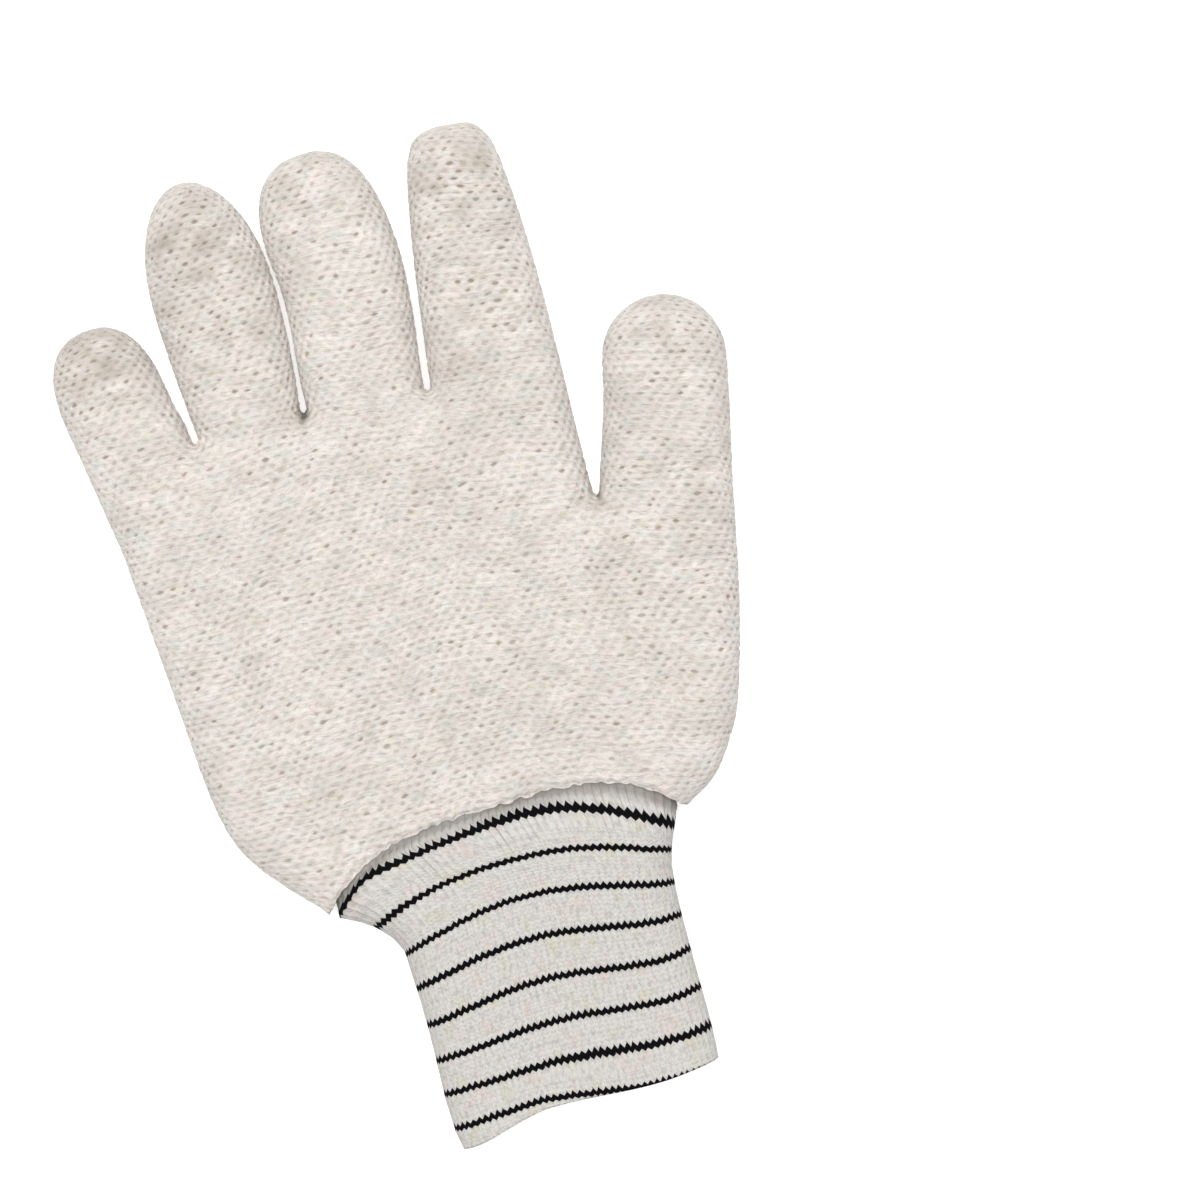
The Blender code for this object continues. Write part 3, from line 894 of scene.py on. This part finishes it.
class Nodes:
    """Short ways to add a material's nodes."""

    def __init__(self, name):
        self.material = bpy.data.materials.new(name)
        self.material.use_nodes = True
        self.tree = self.material.node_tree
        self.shader = self.tree.nodes["Principled BSDF"]

    def add(self, kind, inputs=None, **settings):
        """A node of that kind; an input is a socket to link or a value to set."""
        node = self.tree.nodes.new("ShaderNode" + kind)
        for key, value in settings.items():
            setattr(node, key, value)
        for key, value in (inputs or {}).items():
            self.put(node.inputs[key], value)
        return node

    def put(self, socket, value):
        """Links a socket into another or sets it."""
        if isinstance(value, bpy.types.NodeSocket):
            self.tree.links.new(value, socket)
        else:
            socket.default_value = value

    def math(self, operation, *values):
        """The result of a sum."""
        node = self.add("Math", operation=operation)
        for i, value in enumerate(values):
            self.put(node.inputs[i], value)
        return node.outputs[0]

    def ramp(self, value, low, high, bottom=0.0, top=1.0):
        """A value mapped smoothly from one range to another."""
        node = self.add("MapRange", {"Value": value}, interpolation_type="SMOOTHSTEP")
        for key, number in (("From Min", low), ("From Max", high), ("To Min", bottom), ("To Max", top)):
            self.put(node.inputs[key], number)
        return node.outputs["Result"]

    def vector(self, x, y, z=0.0):
        """Three numbers as a vector."""
        return self.add("CombineXYZ", {"X": x, "Y": y, "Z": z}).outputs[0]

    def stretched(self, x, y, pattern):
        """A soft random value about one half, by a row of a table of patterns."""
        fast_x, fast_y, depth, detail, roughness = pattern
        vector = self.vector(self.math("MULTIPLY", x, fast_x), self.math("MULTIPLY", y, fast_y), depth)
        inputs = {"Vector": vector, "Scale": 1.0, "Detail": detail, "Roughness": roughness}
        return self.add("TexNoise", inputs).outputs["Fac"]

    def chance(self, vector):
        """A random number from 0 to 1 for each whole place."""
        return self.add("TexWhiteNoise", {"Vector": vector}, noise_dimensions="3D").outputs["Value"]

    def mix(self, share, first, second):
        """Two colours mixed."""
        node = self.add("Mix", data_type="RGBA")
        self.put(node.inputs[0], share)
        self.put(node.inputs[6], first)
        self.put(node.inputs[7], second)
        return node.outputs[2]

    def tinted(self, colour, values, tints):
        """A colour with the rows of a table of tints laid over it."""
        for name, start, full, share, tint in tints:
            colour = self.mix(self.ramp(values[name], start, full, 0.0, share), colour, tint)
        return colour

    def knit(self):
        """The two numbers of the texture map."""
        uv = self.add("UVMap", uv_map="knit").outputs[0]
        split = self.add("SeparateXYZ", {"Vector": uv})
        return split.outputs[0], split.outputs[1]

    def bump(self, height, distance):
        """Fine relief as a bent normal."""
        return self.add("Bump", {"Height": height, "Distance": distance}).outputs["Normal"]


# The cloths' colours, from the light yarn to the dark gaps; some also stand in for painted shade and
# painted highlight, as said above them
TERRY_LIGHT = (0.806, 0.756, 0.710, 1.0)
# Light fibres, partly a painted highlight
TERRY_LIGHT_FIBRE_AND_HIGHLIGHT = (0.920, 0.885, 0.845, 1.0)
TERRY_PINK = (0.830, 0.722, 0.672, 1.0)
TERRY_GREEN = (0.740, 0.738, 0.690, 1.0)
TERRY_YELLOW = (0.800, 0.720, 0.590, 1.0)
# The gaps' colour: partly the darker ground yarn, partly painted shade in the recesses between the loops;
# also used for dark fibres, twists and grey patches
TERRY_GAP = (0.335, 0.270, 0.208, 1.0)
# Painted deep shade, mostly in the crotches between the digits
TERRY_DEEP_SHADE = (0.050, 0.045, 0.040, 1.0)
RIB_LIGHT = (0.583, 0.569, 0.541, 1.0)
RIB_PINK = (0.603, 0.539, 0.503, 1.0)
RIB_YELLOW = (0.568, 0.538, 0.432, 1.0)
# Darker heather, and painted shade in the valleys between the ribs
RIB_HEATHER_AND_VALLEY_SHADE = (0.300, 0.290, 0.272, 1.0)
# Dark flecks, and painted shade in pleats and in the band under the terry's edge
RIB_FLECK_AND_SHADE = (0.215, 0.200, 0.180, 1.0)
STRIPE_BLACK = (0.004, 0.004, 0.005, 1.0)
WHITE = (1.0, 1.0, 1.0, 1.0)

# Soft random values: how fast each changes along the two numbers of the knit, its depth, its
# detail and its roughness
TERRY_PATTERNS = {
    "streaks": (0.8, 1.1, 0.0, 3.0, 0.5),
    "patches": (0.5, 0.42, 3.0, 3.0, 0.5),
    "fibres": (1.7, 4.5, 0.0, 4.0, 0.7),
    "twists": (0.7, 2.2, 9.0, 2.0, 0.5),
}
RIB_PATTERNS = {
    "heather": (1.9, 5.0, 0.0, 4.0, 0.65),
    "flecks": (2.2, 16.0, 7.0, 1.0, 0.5),
    "patches": (0.30, 1.3, 5.0, 3.0, 0.5),
}

# Tints: the random value, where on it the tint starts and is full, its share and its colour
TERRY_TINTS = (
    ("streaks", 0.50, 0.70, 1.00, TERRY_PINK),
    ("patches", 0.48, 0.68, 0.90, TERRY_GREEN),
    ("streaks", 0.44, 0.28, 0.80, TERRY_YELLOW),
    ("fibres", 0.46, 0.75, 0.50, TERRY_GAP),
    # Light fibres, partly a painted highlight
    ("fibres", 0.46, 0.25, 0.80, TERRY_LIGHT_FIBRE_AND_HIGHLIGHT),
    ("twists", 0.50, 0.72, 0.30, TERRY_GAP),
)
RIB_TINTS = (
    ("patches", 0.50, 0.68, 1.00, RIB_PINK),
    ("patches", 0.46, 0.30, 0.80, RIB_YELLOW),
    ("heather", 0.40, 0.70, 0.52, RIB_HEATHER_AND_VALLEY_SHADE),
    ("flecks", 0.68, 0.80, 0.60, RIB_FLECK_AND_SHADE),
)

# The gaps between the loops: where across a row they start, what luck adds, and how soft they are
GAP_START = 0.34
GAP_LUCK = 0.16
GAP_EDGE = 0.24

# Grey cloth and painted shade: the most that counts, the share of the gaps' colour in it, and the amounts
# between which it turns dark, with the share of dark, a painted deep shade mostly in the crotches
GREY_MOST = 2.0
GREY_SHARE = 0.28
DEEP_SHADE_SPAN = (1.6, 4.5)
DEEP_SHADE_SHARE = 0.90

# The ribs' valleys and pleats, both painted shade, and the painted shadow band under the terry's edge:
# where across a rib and how far below the terry's edge each starts and is full, and the shares of the
# darker colours
VALLEY_SPAN = (0.36, 0.5)
VALLEY_PLAIN = 0.16
VALLEY_IN_EDGE_SHADOW = 0.85
EDGE_SHADOW_SPAN = (3.4, 0.4)
EDGE_SHADOW_SHARE = 0.75
PLEAT_CHANCE = 0.72
PLEAT_DRAW = 4.0
PLEAT_SPAN = (11.0, 4.0)
PLEAT_SHADE_SHARE = 0.55

# Fine relief: its height in each cloth, and the parts of it
TERRY_RELIEF = 0.45
FIBRE_RELIEF = 1.3
YARN_RELIEF = 0.6
RIB_RELIEF = 0.25
HEATHER_RELIEF = 0.5
STITCHES_DOWN = 0.8
STITCH_SLANT = 0.5

# The finish of each cloth: sheen and gloss, and how matt both are
TERRY_FINISH = (0.3, 0.15)
RIB_FINISH = (0.0, 0.05)
CLOTH_ROUGHNESS = 0.95
SHEEN_ROUGHNESS = 0.6


def terry_material():
    """Natural cream cotton terry: rows of loops, dark lens-shaped gaps that are partly painted shade,
    tinted yarns and fuzz with some painted highlight, and painted shade in the crotches between the digits.
    """
    n = Nodes(TERRY_SLOT)
    along, rows = n.knit()
    row = n.math("ROUND", rows)
    shifted = n.math("SUBTRACT", along, n.math("MULTIPLY", n.math("FLOORED_MODULO", row, 2.0), 0.5))
    loop = n.math("ROUND", shifted)
    turn = n.math("MULTIPLY", n.math("SUBTRACT", shifted, loop), 2 * math.pi)
    centre = n.math("MULTIPLY_ADD", n.math("COSINE", turn), LOOP_SWING, 0.5)
    slant = n.math("MULTIPLY", n.math("SINE", turn), LOOP_SLANT)
    across = n.math("SUBTRACT", n.math("SUBTRACT", rows, row), slant)
    off = n.math("ABSOLUTE", n.math("SUBTRACT", n.math("ABSOLUTE", across), centre))
    start = n.math("MULTIPLY_ADD", n.chance(n.vector(loop, row)), GAP_LUCK, GAP_START)
    gap = n.ramp(off, start, n.math("ADD", start, GAP_EDGE))
    opened = n.add("Attribute", attribute_name="opened").outputs["Fac"]
    gap_yarn_and_shade = n.math("MULTIPLY", gap, opened)
    values = {name: n.stretched(along, rows, pattern) for name, pattern in TERRY_PATTERNS.items()}
    colour = n.tinted(TERRY_LIGHT, values, TERRY_TINTS)
    # The gaps between the loops darkened: partly the ground yarn's own colour, partly painted shade
    colour = n.mix(gap_yarn_and_shade, colour, TERRY_GAP)
    grey_and_shade_amount = n.add("Attribute", attribute_name="shade").outputs["Fac"]
    # Grey patches, and painted shade in the crotches between the digits, darkest there
    grey_and_shade_share = n.math("MULTIPLY", n.math("MINIMUM", grey_and_shade_amount, GREY_MOST), GREY_SHARE)
    colour = n.mix(grey_and_shade_share, colour, TERRY_GAP)
    colour = n.mix(n.ramp(grey_and_shade_amount, *DEEP_SHADE_SPAN, 0.0, DEEP_SHADE_SHARE), colour, TERRY_DEEP_SHADE)
    n.put(n.shader.inputs["Base Color"], colour)
    past = n.math("POWER", n.math("DIVIDE", off, YARN_REACH), 2.0)
    yarn = n.math("SQRT", n.math("MAXIMUM", n.math("SUBTRACT", 1.0, past), 0.0))
    raised = n.math("MULTIPLY", yarn, YARN_RELIEF)
    height = n.math("MULTIPLY_ADD", values["fibres"], FIBRE_RELIEF, raised)
    n.put(n.shader.inputs["Normal"], n.bump(height, TERRY_RELIEF * MM))
    finish_cloth(n, *TERRY_FINISH)
    return n.material


def finish_cloth(n, sheen, gloss):
    """A matt surface with a soft sheen."""
    n.shader.inputs["Roughness"].default_value = CLOTH_ROUGHNESS
    n.shader.inputs["Specular IOR Level"].default_value = gloss
    n.shader.inputs["Sheen Weight"].default_value = sheen
    n.shader.inputs["Sheen Roughness"].default_value = SHEEN_ROUGHNESS


def rib_material():
    """Fine grey-beige rib knit with black stripes whose edges follow the stitches, painted shade in the
    valleys between the ribs and in pleats, and a painted shadow band under the terry's edge.
    """
    n = Nodes(RIB_SLOT)
    rib, level = n.knit()
    spacing = n.add("Attribute", attribute_name="spacing").outputs["Fac"]
    step = n.math("SUBTRACT", level, n.math("ROUND", level))
    spread = n.ramp(level, *FIRST_SPAN, FIRST_SPREAD, 1.0)
    below = n.math("MULTIPLY", n.math("MULTIPLY", step, spacing), spread)
    ripple = n.math("PINGPONG", rib, 0.5)
    tooth = n.math("MULTIPLY", n.math("SUBTRACT", 0.5, ripple), 2.0)
    wobble = n.chance(n.vector(n.math("FLOOR", rib), n.math("ROUND", level)))
    reach = n.math("MULTIPLY", tooth, n.math("MULTIPLY_ADD", wobble, TOOTH_LUCK, TOOTH_LEAST))
    upper = n.math("ADD", below, n.math("MULTIPLY_ADD", reach, TOOTH_UP, STRIPE_UP))
    lower = n.math("SUBTRACT", n.math("MULTIPLY_ADD", reach, -TOOTH_DOWN, STRIPE_DOWN), below)
    above_foot = n.ramp(upper, -STRIPE_EDGE, STRIPE_EDGE)
    stripe = n.math("MULTIPLY", above_foot, n.ramp(lower, -STRIPE_EDGE, STRIPE_EDGE))
    # Painted shade in the valleys between the ribs, stronger in the band under the terry's edge
    valley_shade = n.ramp(ripple, *VALLEY_SPAN)
    depth = n.add("Attribute", attribute_name="below").outputs["Fac"]
    # A painted shadow band on the ribs just under the terry's edge
    edge_shadow = n.ramp(depth, *EDGE_SHADOW_SPAN)
    values = {name: n.stretched(rib, level, pattern) for name, pattern in RIB_PATTERNS.items()}
    colour = n.tinted(RIB_LIGHT, values, RIB_TINTS)
    valley_shade_share = n.math("MULTIPLY_ADD", edge_shadow, VALLEY_IN_EDGE_SHADOW, VALLEY_PLAIN)
    colour = n.mix(n.math("MULTIPLY", valley_shade, valley_shade_share), colour, RIB_HEATHER_AND_VALLEY_SHADE)
    nearest_valley = n.math("FLOOR", n.math("ADD", rib, 0.5))
    # Painted shade in the valleys of random pleats near the seam
    pleat = n.math("GREATER_THAN", n.chance(n.vector(nearest_valley, PLEAT_DRAW)), PLEAT_CHANCE)
    pleat_shade_share = n.math("MULTIPLY", pleat, n.ramp(depth, *PLEAT_SPAN, 0.0, PLEAT_SHADE_SHARE))
    colour = n.mix(n.math("MULTIPLY", pleat_shade_share, valley_shade), colour, RIB_FLECK_AND_SHADE)
    # The painted shadow band under the terry's edge
    colour = n.mix(n.math("MULTIPLY", edge_shadow, EDGE_SHADOW_SHARE), colour, RIB_FLECK_AND_SHADE)
    colour = n.mix(stripe, colour, STRIPE_BLACK)
    n.put(n.shader.inputs["Base Color"], colour)
    slant = n.math("MULTIPLY", tooth, STITCH_SLANT)
    slope = n.math("ADD", n.math("MULTIPLY", below, STITCHES_DOWN), slant)
    stitch = n.math("PINGPONG", slope, 0.5)
    height = n.math("MULTIPLY_ADD", values["heather"], HEATHER_RELIEF, stitch)
    n.put(n.shader.inputs["Normal"], n.bump(height, RIB_RELIEF * MM))
    finish_cloth(n, *RIB_FINISH)
    return n.material


def add_floor():
    """A plain pale floor that glows a little, so that narrow gaps between the fingers stay pale."""
    n = Nodes("floor")
    n.shader.inputs["Base Color"].default_value = (FLOOR_GREY, FLOOR_GREY, FLOOR_GREY, 1.0)
    n.shader.inputs["Roughness"].default_value = FLOOR_ROUGHNESS
    n.shader.inputs["Emission Color"].default_value = WHITE
    n.shader.inputs["Emission Strength"].default_value = FLOOR_GLOW
    corners = np.array([(-1.0, -1.0, 0.0), (1.0, -1.0, 0.0), (1.0, 1.0, 0.0), (-1.0, 1.0, 0.0)])
    floor = add_mesh("floor", corners * FLOOR_SIZE, np.array([[0, 1, 2, 3]]))
    floor.data.materials.append(n.material)
    floor.location.z = -FLOOR_DROP * MM


def add_light(name, place, size, power):
    """A square soft light that looks at the glove."""
    light = bpy.data.lights.new(name, "AREA")
    light.shape = "SQUARE"
    light.size = size * MM
    light.energy = power
    lamp = bpy.data.objects.new(name, light)
    lamp.location = Vector(place) * MM
    lamp.rotation_euler = (-lamp.location).to_track_quat("-Z", "Y").to_euler()
    bpy.context.scene.collection.objects.link(lamp)


def add_light_and_sky():
    """Soft studio light from above and a white surround."""
    world = bpy.data.worlds.new("studio")
    world.use_nodes = True
    sky = world.node_tree.nodes["Background"].inputs
    sky["Color"].default_value = WHITE
    sky["Strength"].default_value = WORLD_STRENGTH
    bpy.context.scene.world = world
    add_light("key_light", KEY_PLACE, KEY_SIZE, KEY_POWER)
    bpy.context.scene.view_settings.view_transform = "Standard"


def add_camera():
    """A camera that looks straight down, turned so that the glove leans."""
    data = bpy.data.cameras.new("camera")
    data.lens = LENS
    data.sensor_width = SENSOR
    height = VIEW_WIDTH * LENS / SENSOR
    camera = bpy.data.objects.new("camera", data)
    camera.location = Vector((VIEW_CENTRE[0], VIEW_CENTRE[1], height + VIEW_HEIGHT)) * MM
    camera.rotation_euler = (0.0, 0.0, -math.radians(VIEW_TILT))
    bpy.context.scene.collection.objects.link(camera)
    bpy.context.scene.camera = camera


def panel_sides():
    """The measures of both panels, from the frame's boxes."""
    back_low, back_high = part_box("back_panel")
    palm_low, palm_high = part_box("palm_panel")
    back = Side(back_low.z / MM, (back_high.z - back_low.z) / MM, BACK_ROLL, 1, BACK_SEED)
    palm = Side(palm_high.z / MM, (palm_high.z - palm_low.z) / MM, PALM_ROLL, -1, PALM_SEED)
    return back, palm


def main():
    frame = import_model()
    seam = seam_line(frame["nodes"]["back_panel"])
    back, palm = panel_sides()
    plan = Plan(seam)
    terry = terry_material()
    terry_panel("back_terry", "back_panel", plan, back, terry)
    terry_panel("palm_terry", "palm_panel", plan, palm, terry)
    tube = Tube(seam, back, palm, CUFF_OFFSET)
    rib_tube(tube, rib_material())
    add_floor()
    add_light_and_sky()
    add_camera()


main()
